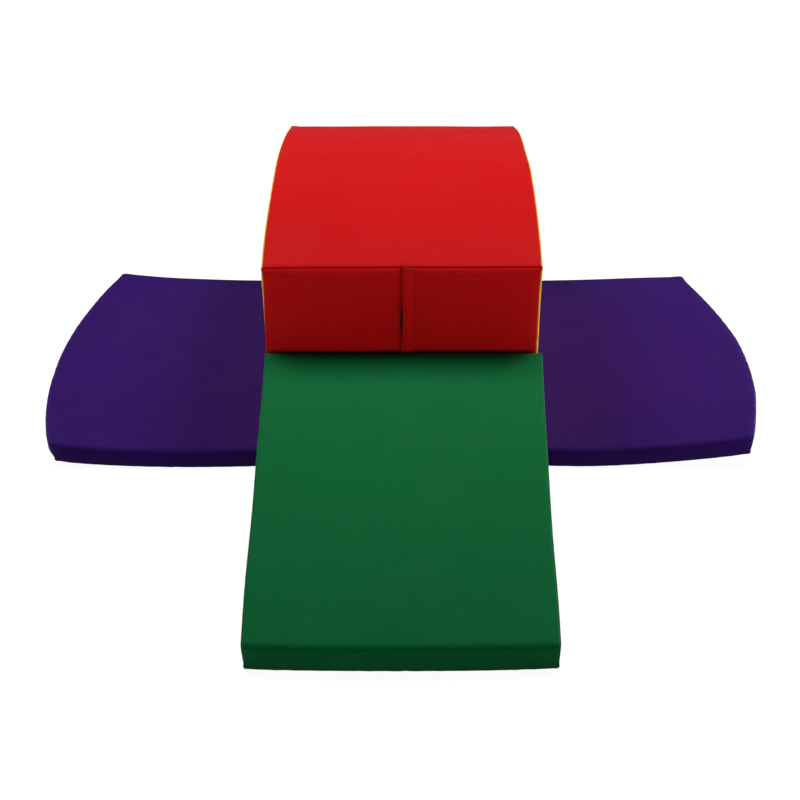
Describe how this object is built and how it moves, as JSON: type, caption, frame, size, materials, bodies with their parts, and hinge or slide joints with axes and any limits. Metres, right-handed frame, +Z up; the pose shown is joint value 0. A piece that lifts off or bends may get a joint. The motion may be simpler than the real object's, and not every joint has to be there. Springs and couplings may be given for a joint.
{
  "type": "soft play foam climber",
  "caption": "Low foam climber for toddlers: an arched block with a ramp in front and a round-ended floor mat on each side, held on with hook and loop.",
  "frame": {"origin": "on the floor, under the middle of the whole climber's box", "axes": "+Z up; +X to the right as seen from the ramp's end, so from the left mat to the right mat; +Y from the ramp's lip towards the block's back"},
  "size_m": [1.7884, 1.6291, 0.593],
  "materials": {
    "red_vinyl": "vinyl-coated fabric, fine leather grain, satin sheen",
    "yellow_vinyl": "vinyl-coated fabric, fine leather grain, satin sheen",
    "green_vinyl": "vinyl-coated fabric, fine leather grain, satin sheen",
    "purple_vinyl": "vinyl-coated fabric, fine leather grain, satin sheen",
    "non_slip_base": "dark cloth with raised non-slip dots",
    "foam": "open-cell polyurethane foam, matt",
    "zip_tape": "woven polyester tape",
    "zip_nylon": "coiled nylon teeth",
    "zip_metal": "plated metal",
    "hook_and_loop": "short stiff pile on woven tape"
  },
  "bodies": {
    "block": {"block_foam_core": "foam", "block_top_cover": "red_vinyl", "block_front_cover_left": "red_vinyl", "block_front_cover_right": "red_vinyl", "block_back_cover": "red_vinyl", "block_side_cover_left": "yellow_vinyl", "block_side_cover_right": "yellow_vinyl", "block_base_cloth": "non_slip_base", "block_zip_tape_left": "zip_tape", "block_zip_tape_right": "zip_tape", "block_zip_chain": "zip_nylon", "block_zip_stop_top": "zip_metal", "block_zip_stop_bottom": "zip_metal", "block_zip_flap_foot": "red_vinyl", "block_ramp_loop_left": "hook_and_loop", "block_ramp_loop_right": "hook_and_loop", "block_mat_loop_left": "hook_and_loop", "block_mat_loop_right": "hook_and_loop"},
    "block_zip_slider": {"block_zip_slider": "zip_metal"},
    "block_zip_flap": {"block_zip_flap": "red_vinyl"},
    "ramp": {"ramp_foam_core": "foam", "ramp_top_cover": "green_vinyl", "ramp_side_cover_left": "green_vinyl", "ramp_side_cover_right": "green_vinyl", "ramp_back_cover": "green_vinyl", "ramp_base_cloth": "non_slip_base", "ramp_zip_tape_lower": "zip_tape", "ramp_zip_tape_upper": "zip_tape", "ramp_zip_chain": "zip_nylon", "ramp_hook_left": "hook_and_loop", "ramp_hook_right": "hook_and_loop"},
    "ramp_zip_slider": {"ramp_zip_slider": "zip_metal"},
    "mat_left": {"mat_left_foam_core": "foam", "mat_left_top_cover": "purple_vinyl", "mat_left_arc_cover": "purple_vinyl", "mat_left_inner_cover": "purple_vinyl", "mat_left_base_cloth": "non_slip_base", "mat_left_zip_tape_lower": "zip_tape", "mat_left_zip_tape_upper": "zip_tape", "mat_left_zip_chain": "zip_nylon", "mat_left_hook": "hook_and_loop"},
    "mat_left_zip_slider": {"mat_left_zip_slider": "zip_metal"},
    "mat_right": {"mat_right_foam_core": "foam", "mat_right_top_cover": "purple_vinyl", "mat_right_arc_cover": "purple_vinyl", "mat_right_inner_cover": "purple_vinyl", "mat_right_base_cloth": "non_slip_base", "mat_right_zip_tape_lower": "zip_tape", "mat_right_zip_tape_upper": "zip_tape", "mat_right_zip_chain": "zip_nylon", "mat_right_hook": "hook_and_loop"},
    "mat_right_zip_slider": {"mat_right_zip_slider": "zip_metal"}
  },
  "joints": [
    {"name": "ramp_pull_off", "type": "slide", "parent": "block", "child": "ramp", "axis": [0, -1, 0], "range_m": [0, 0.3]},
    {"name": "mat_left_pull_off", "type": "slide", "parent": "block", "child": "mat_left", "axis": [-1, 0, 0], "range_m": [0, 0.3]},
    {"name": "mat_right_pull_off", "type": "slide", "parent": "block", "child": "mat_right", "axis": [1, 0, 0], "range_m": [0, 0.3]},
    {"name": "block_zip_slide", "type": "slide", "parent": "block", "child": "block_zip_slider", "axis": [0, 0, -1], "range_m": [0, 0.4474]},
    {"name": "block_zip_flap_hinge", "type": "hinge", "parent": "block", "child": "block_zip_flap", "pos_m": [0.028, -0.1048, 0.312], "axis": [0, 0, 1], "range_deg": [0, 150]},
    {"name": "ramp_zip_slide", "type": "slide", "parent": "ramp", "child": "ramp_zip_slider", "axis": [-1, 0, 0], "range_m": [0, 0.5312]},
    {"name": "mat_left_zip_slide", "type": "slide", "parent": "mat_left", "child": "mat_left_zip_slider", "axis": [0, -1, 0], "range_m": [0, 0.8352]},
    {"name": "mat_right_zip_slide", "type": "slide", "parent": "mat_right", "child": "mat_right_zip_slider", "axis": [0, -1, 0], "range_m": [0, 0.8352]}
  ]
}
